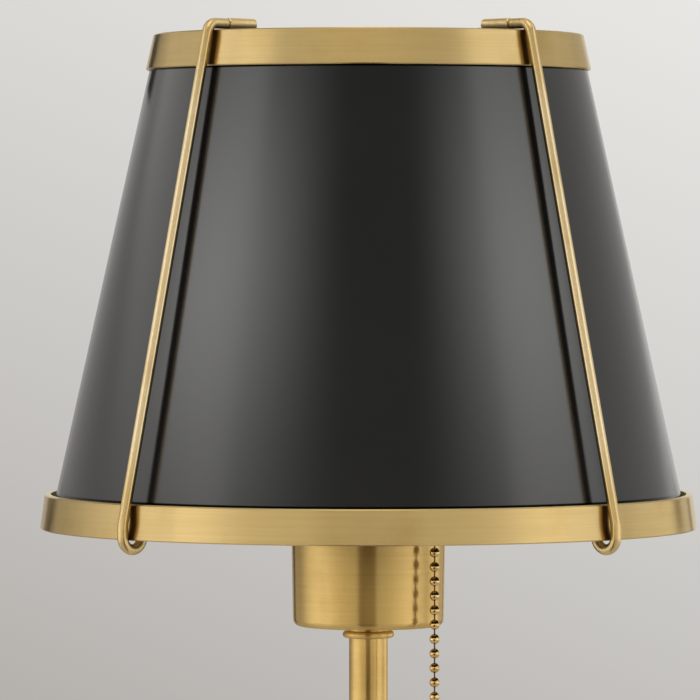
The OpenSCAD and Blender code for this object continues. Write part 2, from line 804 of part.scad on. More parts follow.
// Repeats the children at the four corners of the cage
module at_corner(i) rotate([0, 0, 90 * i - 45]) children();

module at_corners() for (i = [0 : 3]) at_corner(i) children();

// A straight run of rod between two points of its upright plane, carried on into the bends at its ends
module rod_run(from, to, d = rod_d, lead = 0, tail = 0) {
    way = to - from;
    translate([from.x, 0, from.y]) rotate([0, atan2(way.x, way.y), 0]) bar(d, -lead, norm(way) + tail);
}

// A bend of rod in its upright plane, from one angle to a larger one, a hair thicker than the runs
module rod_turn(centre, r, from, to) {
    translate([centre.x, 0, centre.y]) rotate([90, 0, 0]) rotate([0, 0, from]) {
        rotate_extrude(angle = to - from) translate([r, 0]) circle(d = rod_d + bend_swell);
    }
}

module cage_rod(i) color(brass) at_lamp() at_corner(i) {
    into = bend_overlap;
    level_len = top_bend_at.x - rod_shoulder_r + into;
    rod_run([rod_shoulder_r - spigot_len, ferrule_h], [rod_shoulder_r, ferrule_h], spigot_d, 0, into);
    translate([rod_shoulder_r, 0, ferrule_h]) rotate([0, 90, 0]) rotate_extrude() polygon([
        [0, 0], [rod_r - ferrule_bevel, 0], [rod_r, ferrule_bevel], [rod_r, level_len], [0, level_len]
    ]);
    rod_turn(top_bend_at, rod_top_bend, rod_lean, 90);
    rod_run(slant_high, slant_low, rod_d, into, into);
    rod_turn(low_bend_at, rod_low_bend, 0, rod_lean);
    rod_run([rod_foot_r, low_bend_h], [rod_foot_r, hook_centre_h], rod_d, into, into);
    rod_turn(hook_at, hook_bend, 180, 360);
    rod_run([hook_leg_r, hook_centre_h], [hook_leg_r, hook_end_h], rod_d, into, 0);
}

// Ferrule: a bevelled sleeve on the rod's end, with a stud down through the shade's flange
module ferrule(i) color(brass) at_lamp() at_corner(i) difference() {
    union() {
        translate([ferrule_in_r, 0, ferrule_h]) rotate([0, 90, 0]) rotate_extrude() polygon([
            [0, 0], [ferrule_d / 2 - ferrule_bevel, 0], [ferrule_d / 2, ferrule_bevel],
            [ferrule_d / 2, ferrule_len - ferrule_bevel], [ferrule_d / 2 - ferrule_bevel, ferrule_len],
            [0, ferrule_len]
        ]);
        translate([ferrule_stud_r, 0, 0]) {
            bar(ferrule_stud_d, shade_h - shade_wall - ferrule_nut_t - 2 * seat, ferrule_h);
        }
    }
    rod_run(
        [ferrule_out_r - spigot_len, ferrule_h],
        [ferrule_out_r + 1, ferrule_h],
        spigot_d + 2 * slip
    );
}

module ferrule_nuts() {
    high = shade_h - shade_wall - seat;
    color(steel) at_lamp() at_corners() translate([ferrule_stud_r, 0, 0]) {
        hex_nut(ferrule_nut_af, ferrule_stud_d + 2 * slip, high - ferrule_nut_t, high);
    }
}

// Bulb
module glass_profile(inset) {
    globe_r = bulb_d / 2 - inset;
    neck_r = glass_neck_d / 2 - inset;
    foot_r = cap_d / 2 - cap_wall - seat - inset;
    foot_h = cap_top_h - glass_in_cap;
    intersection() {
        translate([0, foot_h]) square([bulb_d, bulb_len]);
        union() {
            translate([0, globe_h]) circle(r = globe_r);
            polygon([
                [0, foot_h - 1], [foot_r, foot_h - 1], [foot_r, cap_top_h + seat],
                [neck_r, cap_top_h + glass_in_cap],
                [globe_r * cos(globe_join) - 0.2, globe_h + globe_r * sin(globe_join)], [0, globe_h]
            ]);
        }
    }
}

module bulb_glass() color(glass_white) at_lamp() rotate_extrude() difference() {
    glass_profile(0);
    translate([0, -1]) glass_profile(glass_wall);
    translate([0, globe_h]) circle(r = bulb_d / 2 - glass_wall);
}

module bulb_cap() color(steel) at_lamp() difference() {
    bar(cap_d, cap_low_h, cap_top_h);
    bar(cap_d - 2 * cap_wall, cap_low_h + 1, cap_top_h + 1);
}

module bulb_insulator() color(phenolic) at_lamp() {
    translate([0, 0, bulb_seat_h + bulb_tip_h]) cylinder(d1 = 12, d2 = cap_d - 4, h = insulator_h - seat);
}

module bulb_contact() color(steel) at_lamp() {
    translate([0, 0, bulb_seat_h]) cylinder(d1 = 7, d2 = 9, h = bulb_tip_h - seat);
}

// Pull switch
module at_lever() at_chain() translate([lever_pin_r, 0, lever_pin_h]) children();

module lever_pin() color(steel) at_lever() rotate([90, 0, 0]) {
    half = pocket_w / 2 + pin_bore_depth - seat;
    bar(lever_pin_d, -half, half);
}

// Lever: a hub on the pin, an upright blade and a flat fork under the chain's head bead
module switch_lever() color(brass) at_lever() rotate([0, -lever_tilt, 0]) difference() {
    union() {
        rotate([90, 0, 0]) bar(lever_hub_d, -lever_t / 2, lever_t / 2);
        translate([0, -lever_t / 2, -lever_blade]) cube([lever_len - fork_root / 2, lever_t, lever_blade]);
        translate([lever_len - fork_root, -fork_w / 2, -fork_t]) {
            cube([fork_root + fork_reach, fork_w, fork_t]);
        }
    }
    rotate([90, 0, 0]) bar(lever_pin_d + 2 * slip, -lever_t, lever_t);
    translate([lever_len - fork_slot_w * 0.75, -fork_slot_w / 2, -fork_cut]) {
        cube([fork_reach * 3, fork_slot_w, 2 * fork_cut]);
    }
}

// Return spring: one open coil round the pin, beside the lever
function coil_point(turns, around, across) = [
    (spring_d / 2 + across * cos(around)) * cos(360 * turns),
    (spring_d / 2 + across * cos(around)) * sin(360 * turns),
    spring_pitch * turns + across * sin(around)
];

module coil(turns) {
    last = turns * spring_rings;
    points = [
        for (ring = [0 : last], side = [0 : spring_sides - 1])
            coil_point(ring / spring_rings, 360 * side / spring_sides, spring_wire / 2)
    ];
    sides = [
        for (ring = [0 : last - 1], side = [0 : spring_sides - 1], half = [0, 1])
            let (
                next_side = (side + 1) % spring_sides,
                a = ring * spring_sides + side,
                b = ring * spring_sides + next_side,
                c = (ring + 1) * spring_sides + next_side,
                d = (ring + 1) * spring_sides + side
            )
            half == 0 ? [a, c, b] : [a, d, c]
    ];
    ends = [
        for (side = [1 : spring_sides - 2]) [0, side, side + 1],
        for (side = [1 : spring_sides - 2])
            [last * spring_sides, last * spring_sides + side + 1, last * spring_sides + side]
    ];
    polyhedron(points, concat(sides, ends));
}

module return_spring() color(steel) at_lever() {
    translate([0, -lever_t / 2 - spring_gap - spring_wire / 2, 0]) rotate([90, 0, 0]) coil(spring_turns);
}

// Pull chain
module at_bead(h) at_chain() translate([chain_r, 0, h]) children();

// Head bead on the lever's fork, with a link that ends in a knob inside the swivel
module chain_head() color(brass) {
    at_bead(head_bead_h) sphere(r = bead_r);
    at_bead(0) bar(link_d, swivel_h + knob_off, head_bead_h);
    at_bead(swivel_h + knob_off) sphere(r = knob_r);
}

// Hollow swivel bead: the upper slot lets it swing in and out, the lower one lets the chain swing aside
module chain_swivel() color(brass) at_bead(swivel_h) difference() {
    slot_half = chain_swing + asin(link_r / (swivel_r - swivel_wall)) + 3;
    slot_w = link_d + 0.3;
    sphere(r = swivel_r);
    sphere(r = swivel_r - swivel_wall);
    for (lower = [0, 1]) rotate([180 * lower, 0, 90 * lower]) {
        rotate([90, 0, 0]) linear_extrude(height = slot_w, center = true) polygon([
            [0, 0], swivel_d * [sin(slot_half), cos(slot_half)],
            swivel_d * [-sin(slot_half), cos(slot_half)]
        ]);
    }
}

module chain_drop() color(brass) {
    at_bead(swivel_h - knob_off) sphere(r = knob_r);
    at_bead(0) bar(link_d, last_bead_h, swivel_h - knob_off);
    for (i = [0 : bead_count - 1]) at_bead(first_bead_h - i * bead_pitch) sphere(r = bead_r);
}

// End weight: a small bell that hangs on the last bead
module chain_weight() color(brass) at_bead(weight_top_h) mirror([0, 0, 1]) difference() {
    shoulder_r = weight_bore_d / 2 + 0.6;
    mouth_r = weight_d / 2;
    rotate_extrude() polygon([
        [0, 0], [shoulder_r - 0.8, 0], [shoulder_r - 0.2, weight_cap / 3], [shoulder_r, weight_cap],
        [shoulder_r + 0.2, weight_len * 0.4], [mouth_r * 0.86, weight_len * 0.72],
        [mouth_r, weight_len - 1], [mouth_r, weight_len], [0, weight_len]
    ]);
    bar(link_d + 4 * seat, -1, weight_len);
    bar(weight_bore_d, weight_cap, weight_len + 1);
}

wall_bracket();
earth_screw();
plate_studs();
cap_nuts();
wall_plate();
fork_post();
post_nut();
pivot_pin();
pin_nut();
thrust_washers();
arm_knuckle();
arm_tube();
elbow();
finial();
stem_tube();
stem_collar();
socket_cup();
nipple();
nipple_nut();
socket_base();
socket_skirt();
screw_shell();
centre_contact();
shade_ring();
shade_spider();
shade();
top_band();
bottom_band();
for (i = [0 : 3]) cage_rod(i);
for (i = [0 : 3]) ferrule(i);
ferrule_nuts();
bulb_glass();
bulb_cap();
bulb_insulator();
bulb_contact();
lever_pin();
return_spring();
switch_lever();
chain_head();
chain_swivel();
chain_drop();
chain_weight();
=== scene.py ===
"""Looks of the wall lamp: camera, studio light, floor and a procedural material for every piece."""
import math

import bpy
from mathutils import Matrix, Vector


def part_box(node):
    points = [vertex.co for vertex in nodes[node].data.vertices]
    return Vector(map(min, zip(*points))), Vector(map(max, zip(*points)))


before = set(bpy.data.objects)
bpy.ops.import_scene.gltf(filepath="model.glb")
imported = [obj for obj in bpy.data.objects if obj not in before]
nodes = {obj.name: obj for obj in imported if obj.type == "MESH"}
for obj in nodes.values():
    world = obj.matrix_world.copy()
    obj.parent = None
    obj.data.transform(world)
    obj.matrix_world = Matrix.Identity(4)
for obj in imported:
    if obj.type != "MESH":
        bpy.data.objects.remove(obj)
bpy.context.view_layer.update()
scene = bpy.context.scene
scene.view_settings.view_transform = "Standard"

# Places and sizes in metres, as in the CAD
AXIS = Vector((0.0, -0.190, 0.0))
WALL_CENTRE = Vector((0.0, 0.0, 0.0))
PIVOT = Vector((0.0, -0.055, 0.0))
FOOT_Z = 0.130
SHADE_H = 0.1517
CONE_LOW_R = 0.0985
CONE_HIGH_R = 0.065
CONE_SLOPE = (CONE_LOW_R - CONE_HIGH_R) / SHADE_H
CONE_TIP_Z = FOOT_Z + CONE_LOW_R / CONE_SLOPE
SHEET = 0.0009
# Painted shadow: dark lines on the shade beside the bands, standing in for the shade in the gaps at the
# bands, with their width and their heights over the shade's foot
GAP_SHADOW_W = 0.0014
GAP_SHADOW_HEIGHTS = (0.0106, 0.1408)
# Heights over which the rods' straight runs pass into their bends, where the bends' painted shade fades
# in
LOW_BEND = (FOOT_Z + 0.014, FOOT_Z + 0.030)
TOP_BEND = (FOOT_Z + 0.128, FOOT_Z + 0.144)
# Distances from the chain's middle over which its links pass into its beads, and the links' painted shade
# fades out
LINK_R = (0.00035, 0.0007)

# The middle of a noise's range, in which most of its values lie, and a wider one
MIDDLE = (0.3, 0.7)
WIDE = (0.25, 0.75)
# Where a ramp falls instead of rising
FALLING = (1.0, 0.0)

# Colours, most of them as pairs that a noise runs between
BRASS = ((0.66, 0.438, 0.138), (0.74, 0.518, 0.198))
BRASS_DARK = (0.48, 0.29, 0.080)
BRASS_EDGE = (0.97, 0.89, 0.70, 1.0)
BAND = ((0.590, 0.422, 0.168), (0.665, 0.500, 0.240))
FERRULE = ((0.74, 0.555, 0.275), (0.80, 0.615, 0.330))
ROD = ((0.81, 0.650, 0.395), (0.84, 0.680, 0.430))
# Painted shade on the rods' bends, a deeper gold than their straight runs
ROD_BEND_SHADE = (0.68, 0.505, 0.240)
# Painted shade on the rods' backs, which face the axis
ROD_BACK_SHADE = (0.10, 0.055, 0.014)
BEAD = ((0.72, 0.51, 0.22), (0.50, 0.31, 0.11))
# Painted shade on the chain's thin links
LINK_SHADE = (0.10, 0.06, 0.02)
ENAMEL = ((0.0055, 0.0056, 0.0057), (0.0085, 0.0086, 0.0085))
ENAMEL_INSIDE = ((0.013, 0.013, 0.013), (0.019, 0.019, 0.019))
# Painted shadow for the lines on the shade beside the bands
GAP_SHADOW = (0.002, 0.002, 0.002)
ZINC = ((0.46, 0.465, 0.46), (0.66, 0.66, 0.64))
PLASTIC = ((0.012, 0.010, 0.009), (0.026, 0.021, 0.018))
GLASS = ((0.88, 0.87, 0.83), (0.94, 0.935, 0.91))
GREEN = ((0.035, 0.20, 0.07), (0.30, 0.36, 0.25))
BRONZE = ((0.30, 0.17, 0.075), (0.48, 0.29, 0.13))
FLOOR = ((0.66, 0.655, 0.64), (0.70, 0.695, 0.68))
BACKDROP = ((0.456, 0.437, 0.418), (0.807, 0.799, 0.768))
ROOM_LIGHT = (1.0, 0.985, 0.96, 1.0)
BLACK = (0.004, 0.004, 0.003)
BROWN = (0.05, 0.03, 0.003)


class Graph:
    """A node tree with short calls for adding and linking nodes."""

    def __init__(self, tree):
        self.tree = tree

    def add(self, kind, **settings):
        node = self.tree.nodes.new(kind)
        for key, value in settings.items():
            setattr(node, key, value)
        return node

    def link(self, source, target):
        self.tree.links.new(source, target)

    def feed(self, value, socket):
        """Sets a socket to a number, or links it to another socket."""
        if isinstance(value, bpy.types.NodeSocket):
            self.link(value, socket)
        else:
            socket.default_value = value

    def math(self, operation, a, b=None):
        node = self.add("ShaderNodeMath", operation=operation)
        self.feed(a, node.inputs[0])
        if b is not None:
            self.feed(b, node.inputs[1])
        return node.outputs[0]

    def vector(self, operation, a, b=None, scale=None):
        node = self.add("ShaderNodeVectorMath", operation=operation)
        self.feed(a, node.inputs[0])
        if b is not None:
            self.feed(b, node.inputs[1])
        if scale is not None:
            self.feed(scale, node.inputs["Scale"])
        return node.outputs["Value" if operation in ("LENGTH", "DOT_PRODUCT") else "Vector"]

    def coords(self, kind):
        return self.add("ShaderNodeTexCoord").outputs[kind]

    def place(self):
        """Object coordinates, which are the CAD frame's metres."""
        return self.coords("Object")

    def level_from(self, centre):
        """The level part of the way from a centre to the shaded point."""
        way = self.vector("SUBTRACT", self.place(), tuple(centre))
        return self.vector("MULTIPLY", way, (1.0, 1.0, 0.0))

    def part(self, vector, axis):
        """One coordinate of a vector."""
        node = self.add("ShaderNodeSeparateXYZ")
        self.link(vector, node.inputs[0])
        return node.outputs[axis]

    def noise(self, at, scale, detail=2.0, roughness=0.5, distortion=0.0):
        node = self.add("ShaderNodeTexNoise")
        self.feed(at, node.inputs["Vector"])
        node.inputs["Scale"].default_value = scale
        node.inputs["Detail"].default_value = detail
        node.inputs["Roughness"].default_value = roughness
        node.inputs["Distortion"].default_value = distortion
        return node.outputs["Fac"]

    def ramp(self, value, span, to=(0.0, 1.0), shape="LINEAR"):
        node = self.add("ShaderNodeMapRange", interpolation_type=shape)
        self.feed(value, node.inputs["Value"])
        for socket, number in zip(("From Min", "From Max", "To Min", "To Max"), (*span, *to)):
            node.inputs[socket].default_value = number
        return node.outputs["Result"]

    def mix(self, factor, a, b):
        node = self.add("ShaderNodeMix", data_type="RGBA")
        self.feed(factor, node.inputs["Factor"])
        for value, socket in ((a, node.inputs[6]), (b, node.inputs[7])):
            self.feed(value if isinstance(value, bpy.types.NodeSocket) else (*value, 1.0), socket)
        return node.outputs[2]

    def shades(self, value, span, pair):
        """A colour that runs from a pair's first to its second while a value runs over a span."""
        return self.mix(self.ramp(value, span), *pair)

    def blend(self, factor, first, second):
        """Mixes two shader nodes."""
        node = self.add("ShaderNodeMixShader")
        self.link(factor, node.inputs[0])
        self.link(first.outputs[0], node.inputs[1])
        self.link(second.outputs[0], node.inputs[2])
        return node.outputs[0]


class Shader(Graph):
    """A material's node tree."""

    def __init__(self, name):
        self.mat = bpy.data.materials.new(name)
        self.mat.use_nodes = True
        super().__init__(self.mat.node_tree)
        self.bsdf = self.tree.nodes["Principled BSDF"]

    def bump(self, height, strength, distance):
        node = self.add("ShaderNodeBump")
        node.inputs["Strength"].default_value = strength
        node.inputs["Distance"].default_value = distance
        self.link(height, node.inputs["Height"])
        self.link(node.outputs["Normal"], self.bsdf.inputs["Normal"])

    def set(self, **values):
        """Sets or links the surface's sockets, named with underscores for spaces."""
        for key, value in values.items():
            self.feed(value, self.bsdf.inputs[key.replace("_", " ")])

    def show(self, surface):
        """Sends a shader to the output in place of the surface's own."""
        self.link(surface, self.tree.nodes["Material Output"].inputs[0])


def brass_turned(name, centre=AXIS, axis="Z", spread=1.6, tones=BRASS):
    """Brushed antique brass with turning marks round an axis, which a small spread makes longer."""
    s = Shader(name)
    here = s.place()
    along = {"Y": (0.0, 1.0, 0.0), "Z": (0.0, 0.0, 1.0)}[axis]
    across = tuple(1.0 - part for part in along)
    local = s.vector("SUBTRACT", here, tuple(centre))
    flat = s.vector("MULTIPLY", local, across)
    round_it = s.vector("NORMALIZE", flat)
    # Marks follow one another along the axis, and across the flats that face along it
    outward_share = 0.62
    steps = s.math("ADD", s.vector("DOT_PRODUCT", local, along),
                   s.math("MULTIPLY", s.vector("LENGTH", flat), outward_share))

    def marks(round_scale, per_metre, detail):
        turn = s.vector("SCALE", round_it, scale=round_scale)
        lift = s.vector("SCALE", along, scale=s.math("MULTIPLY", steps, per_metre))
        return s.noise(s.vector("ADD", turn, lift), 1.0, detail, roughness=0.6)

    fine_marks = marks(spread, per_metre=5200.0, detail=3.0)
    long_marks = marks(0.4 * spread, per_metre=1100.0, detail=2.0)
    tone = s.math("ADD", s.math("MULTIPLY", fine_marks, 0.6), s.math("MULTIPLY", long_marks, 0.4))
    tarnish = s.noise(here, 38.0, detail=4.0, roughness=0.6)
    colour = s.shades(tone, (0.28, 0.72), tones)
    colour = s.mix(s.ramp(tarnish, (0.52, 0.8), (0.0, 0.55)), colour, BRASS_DARK)
    tangent = s.add("ShaderNodeTangent", direction_type="RADIAL", axis=axis).outputs[0]
    s.set(Base_Color=colour, Metallic=1.0, Roughness=s.ramp(tone, WIDE, (0.313, 0.277)))
    s.set(Tangent=tangent, Anisotropic=1.0, Anisotropic_Rotation=0.25)
    s.set(Specular_Tint=BRASS_EDGE, Coat_Weight=0.2, Coat_Roughness=0.15)
    s.bump(tone, strength=0.16, distance=0.00006)
    return s.mat


def brass_drawn(name):
    """Pale drawn brass for the rods, polished across their run, which points at the tip of the cone.

    Painted shade: their bends are a deeper gold, and their backs, which face the axis, are dark.
    """
    s = Shader(name)
    here = s.place()
    run = s.vector("NORMALIZE", s.vector("SUBTRACT", (AXIS.x, AXIS.y, CONE_TIP_Z), here))
    cuts = s.noise(s.vector("MULTIPLY", here, (400.0, 400.0, 1200.0)), 1.0)
    tarnish = s.noise(here, 60.0)
    height = s.part(here, "Z")
    # Painted shade: the rods' bends are a deeper gold than their straight runs
    bend_shade = s.math("MAXIMUM", s.ramp(height, LOW_BEND, FALLING), s.ramp(height, TOP_BEND))
    outward = s.vector("NORMALIZE", s.level_from(AXIS))
    facing = s.vector("DOT_PRODUCT", s.coords("Normal"), outward)
    colour = s.mix(bend_shade, s.shades(cuts, MIDDLE, ROD), ROD_BEND_SHADE)
    colour = s.mix(s.ramp(tarnish, (0.55, 0.85), (0.0, 0.35)), colour, BRASS_DARK)
    # Painted shade: the faces that turn towards the axis go dark
    colour = s.mix(s.ramp(facing, (-0.5, -0.05), FALLING), colour, ROD_BACK_SHADE)
    s.set(Base_Color=colour, Metallic=1.0, Roughness=s.ramp(cuts, MIDDLE, (0.269, 0.261)))
    s.set(Tangent=run, Anisotropic=0.97, Specular_Tint=BRASS_EDGE)
    s.bump(cuts, strength=0.006, distance=0.00004)
    return s.mat


def brass_satin(name, rough=(0.22, 0.36), tones=BRASS):
    """Drawn or cast brass with a fine satin finish, rougher where it is tarnished."""
    s = Shader(name)
    here = s.place()
    grains = s.noise(here, 1400.0, detail=3.0, roughness=0.6)
    tarnish = s.noise(here, 60.0, detail=4.0, roughness=0.65)
    colour = s.mix(s.ramp(tarnish, (0.5, 0.8), (0.0, 0.6)), s.shades(grains, MIDDLE, tones), BRASS_DARK)
    s.set(Base_Color=colour, Metallic=1.0, Specular_Tint=BRASS_EDGE)
    s.set(Roughness=s.ramp(tarnish, (0.3, 0.75), rough))
    s.bump(grains, strength=0.12, distance=0.00004)
    return s.mat


def brass_bead(name):
    """Polished plated brass, with painted shade on the thin links that run along the chain's middle."""
    s = Shader(name)
    here = s.place()
    low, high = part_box("chain_drop")
    middle = tuple((low[i] + high[i]) / 2 for i in range(3))
    out = s.vector("LENGTH", s.level_from(middle))
    tarnish = s.noise(here, 420.0, detail=3.0, roughness=0.6)
    # Painted shade: the links near the chain's middle go dark
    colour = s.mix(s.ramp(out, LINK_R, FALLING), s.shades(tarnish, (0.42, 0.72), BEAD), LINK_SHADE)
    s.set(Base_Color=colour, Metallic=1.0, Roughness=s.ramp(tarnish, MIDDLE, (0.08, 0.17)))
    s.bump(s.noise(here, 1500.0), strength=0.08, distance=0.00003)
    return s.mat


def black_paint(name):
    """Satin black enamel outside and flat black inside, split at the middle of the sheet, with painted
    shadow lines beside the bands.
    """
    s = Shader(name)
    here = s.place()
    out = s.vector("LENGTH", s.level_from(AXIS))
    height = s.math("SUBTRACT", s.part(here, "Z"), FOOT_Z)
    skin = s.math("SUBTRACT", CONE_LOW_R - SHEET * 0.5, s.math("MULTIPLY", height, CONE_SLOPE))
    inside_wall = s.math("LESS_THAN", out, skin)
    under_top = s.math("LESS_THAN", height, SHADE_H - SHEET * 0.5)
    inside = s.math("MULTIPLY", inside_wall, under_top)
    # Painted shadow lines on the shade beside the bands
    gap_shadows = []
    for middle in GAP_SHADOW_HEIGHTS:
        off = s.math("ABSOLUTE", s.math("SUBTRACT", height, middle))
        gap_shadows.append(s.ramp(off, (GAP_SHADOW_W * 0.3, GAP_SHADOW_W * 0.5), FALLING))
    gap_shadow = s.math("MAXIMUM", *gap_shadows)
    grain = s.noise(here, 2600.0, detail=3.0, roughness=0.55)
    cloud = s.noise(here, 24.0, detail=3.0, roughness=0.55)
    paint = s.mix(inside, s.shades(cloud, MIDDLE, ENAMEL), s.shades(cloud, MIDDLE, ENAMEL_INSIDE))
    gloss = s.ramp(grain, WIDE, (0.160, 0.185))
    rough = s.math("ADD", gloss, s.math("MULTIPLY", inside, 0.3))
    # The painted shadow lines are flat black, so they are dark metal, which mirrors nothing
    s.set(Base_Color=s.mix(gap_shadow, paint, GAP_SHADOW), Roughness=rough, Metallic=gap_shadow, Specular_IOR_Level=0.9)
    s.bump(grain, strength=0.02, distance=0.00002)
    return s.mat


def zinc(name):
    """Zinc-plated steel with a faint spangle."""
    s = Shader(name)
    here = s.place()
    cells = s.add("ShaderNodeTexVoronoi")
    s.link(here, cells.inputs["Vector"])
    cells.inputs["Scale"].default_value = 420.0
    spangle = s.noise(here, 160.0, detail=3.0, roughness=0.6)
    tone = s.math("MULTIPLY", s.math("ADD", cells.outputs["Distance"], spangle), 0.5)
    s.set(Base_Color=s.shades(tone, (0.2, 0.7), ZINC), Metallic=1.0)
    s.set(Roughness=s.ramp(spangle, MIDDLE, (0.26, 0.42)))
    s.bump(spangle, strength=0.1, distance=0.00005)
    return s.mat


def plain(name, pair, scale, rough, span=MIDDLE, detail=3.0, distortion=0.0, bumps=None,
          strength=0.1, distance=0.00004, **constants):
    """A material whose colour and roughness follow one noise, and its bumps that one or a finer one."""
    s = Shader(name)
    here = s.place()
    grain = s.noise(here, scale, detail, 0.6, distortion)
    s.set(Base_Color=s.shades(grain, span, pair), Roughness=s.ramp(grain, MIDDLE, rough), **constants)
    s.bump(s.noise(here, bumps) if bumps else grain, strength, distance)
    return s.mat


def dress(material, *names):
    """Gives CAD nodes a material."""
    for name in names:
        data = nodes[name].data
        data.materials.clear()
        data.materials.append(material)


CORNERS = ("front_right", "back_right", "back_left", "front_left")
RODS = [f"cage_rod_{corner}" for corner in CORNERS]
FERRULES = [f"ferrule_{corner}" for corner in CORNERS]
dress(brass_turned("brushed_brass_band", spread=4.0, tones=BAND), "top_band", "bottom_band")
dress(brass_turned("brushed_brass_lamp"), "socket_cup", "stem_tube", "stem_collar", "shade_ring",
      "shade_spider", "finial", "screw_shell")
dress(brass_turned("brushed_brass_arm", axis="Y"), "arm_tube")
dress(brass_turned("brushed_brass_plate", WALL_CENTRE, "Y"), "wall_plate", "fork_post", "cap_nuts")
dress(brass_turned("brushed_brass_pivot", PIVOT), "pivot_pin", "pin_nut", "arm_knuckle")
dress(brass_satin("satin_brass"), "elbow", "centre_contact", "switch_lever")
dress(brass_satin("pale_satin_brass", (0.31, 0.45), FERRULE), *FERRULES)
dress(brass_drawn("drawn_brass"), *RODS)
dress(brass_bead("polished_brass"), "chain_head", "chain_swivel", "chain_drop", "chain_weight")
dress(black_paint("black_paint"), "shade")
dress(zinc("zinc_steel"), "wall_bracket", "plate_studs", "post_nut", "nipple", "nipple_nut",
      "ferrule_nuts", "bulb_cap", "bulb_contact", "lever_pin", "return_spring")
# Dark moulded plastic with a faint flow pattern
dress(plain("phenolic", PLASTIC, 130.0, (0.30, 0.44), detail=4.0, distortion=0.8, bumps=1800.0,
            strength=0.08, distance=0.00006), "socket_base", "socket_skirt", "bulb_insulator")
# Frosted bulb glass with a milky inside coat
dress(plain("frosted_glass", GLASS, 90.0, (0.30, 0.42), detail=4.0, bumps=2500.0, strength=0.06,
            Transmission_Weight=0.1), "bulb_glass")
# A green dyed screw, rubbed bright where a driver has touched it
dress(plain("earth_green", GREEN, 700.0, (0.34, 0.5), span=(0.58, 0.72), Metallic=0.7), "earth_screw")
dress(plain("bearing_bronze", BRONZE, 500.0, (0.32, 0.48), Metallic=1.0), "thrust_washers")

# Camera: far off in front, level with the shade's upper half, looking slightly down
CAMERA_SENSOR_MM = 36.0
CAMERA_LENS_MM = 278.8
CAMERA_X = -0.0057
CAMERA_FROM_AXIS = 1.6706
CAMERA_Z = 0.22125
CAMERA_DIP = 1.2528
camera_data = bpy.data.cameras.new("camera")
camera_data.sensor_width = CAMERA_SENSOR_MM
camera_data.lens = CAMERA_LENS_MM
camera = bpy.data.objects.new("camera", camera_data)
camera.location = (CAMERA_X, AXIS.y - CAMERA_FROM_AXIS, CAMERA_Z)
camera.rotation_euler = (math.radians(90.0 - CAMERA_DIP), 0.0, 0.0)
scene.collection.objects.link(camera)
scene.camera = camera

STUDIO_CENTRE = Vector((AXIS.x, AXIS.y, 0.20))


def around(azimuth, elevation, distance):
    """A point round the lamp: azimuth 0 is towards the camera, positive to the right."""
    a, e = math.radians(azimuth), math.radians(elevation)
    way = Vector((math.sin(a) * math.cos(e), -math.cos(a) * math.cos(e), math.sin(e)))
    return STUDIO_CENTRE + distance * way


def softbox(name, azimuth, elevation, distance, width, height, radiance):
    """A lamp that faces the shade and that no reflection shows."""
    light = bpy.data.lights.new(name, "AREA")
    light.shape = "RECTANGLE"
    light.size, light.size_y = width, height
    light.energy = radiance * math.pi * width * height
    obj = bpy.data.objects.new(name, light)
    obj.location = around(azimuth, elevation, distance)
    obj.rotation_euler = (STUDIO_CENTRE - obj.location).to_track_quat("-Z", "Y").to_euler()
    obj.visible_camera = False
    obj.visible_glossy = False
    scene.collection.objects.link(obj)


softbox("softbox_left", -70, 20, 1.6, width=0.95, height=1.5, radiance=2.2)
softbox("softbox_right", 66, 20, 1.6, width=0.75, height=1.5, radiance=2.2)
softbox("softbox_top", 150, 62, 2.0, width=1.2, height=1.2, radiance=1.2)


def mirror_rise(azimuth):
    """How high the shade's wall mirrors the room for a level view, at an azimuth."""
    lean = 2 * math.atan(CONE_SLOPE)
    return math.degrees(math.asin(math.sin(lean) * math.cos(math.radians(azimuth / 2))))


def card_mesh(name, azimuths, elevations, distance, follow):
    """A patch of a sphere round the lamp, with its shares of width and height as UV coordinates."""
    steps = 24
    verts, faces = [], []
    for i in range(steps + 1):
        for j in range(steps + 1):
            a = azimuths[0] + (azimuths[1] - azimuths[0]) * i / steps
            e = elevations[0] + (elevations[1] - elevations[0]) * j / steps
            verts.append(around(a, e + (mirror_rise(a) if follow else 0.0), distance))
    for i in range(steps):
        for j in range(steps):
            k = i * (steps + 1) + j
            faces.append((k, k + 1, k + steps + 2, k + steps + 1))
    mesh = bpy.data.meshes.new(name)
    mesh.from_pydata(verts, [], faces)
    layer = mesh.uv_layers.new(name="card")
    for loop in mesh.loops:
        i, j = divmod(loop.vertex_index, steps + 1)
        layer.data[loop.index].uv = (i / steps, j / steps)
    return mesh


def card(name, azimuths, elevations, distance, colour, soft=(0.0, 0.0), follow=False):
    """A studio card round the lamp that only reflections show.

    It fades at its sides over the soft shares of its width and height. With follow, the elevations
    count from what the shade's wall mirrors at each azimuth.
    """
    hard = 1e-4
    s = Shader(name)
    uv = s.coords("UV")
    shares = []
    for axis, width in zip("XY", soft):
        way = s.part(uv, axis)
        near = s.math("MINIMUM", way, s.math("SUBTRACT", 1.0, way))
        shares.append(s.ramp(near, (0.0, max(width, hard)), shape="SMOOTHSTEP"))
    glow = s.add("ShaderNodeEmission")
    glow.inputs["Color"].default_value = (*colour, 1.0)
    s.show(s.blend(s.math("MULTIPLY", *shares), s.add("ShaderNodeBsdfTransparent"), glow))
    s.tree.nodes.remove(s.bsdf)
    mesh = card_mesh(name, azimuths, elevations, distance, follow)
    mesh.materials.append(s.mat)
    obj = bpy.data.objects.new(name, mesh)
    scene.collection.objects.link(obj)
    obj.visible_camera = False
    obj.visible_diffuse = False
    obj.visible_shadow = False
    obj.visible_transmission = False


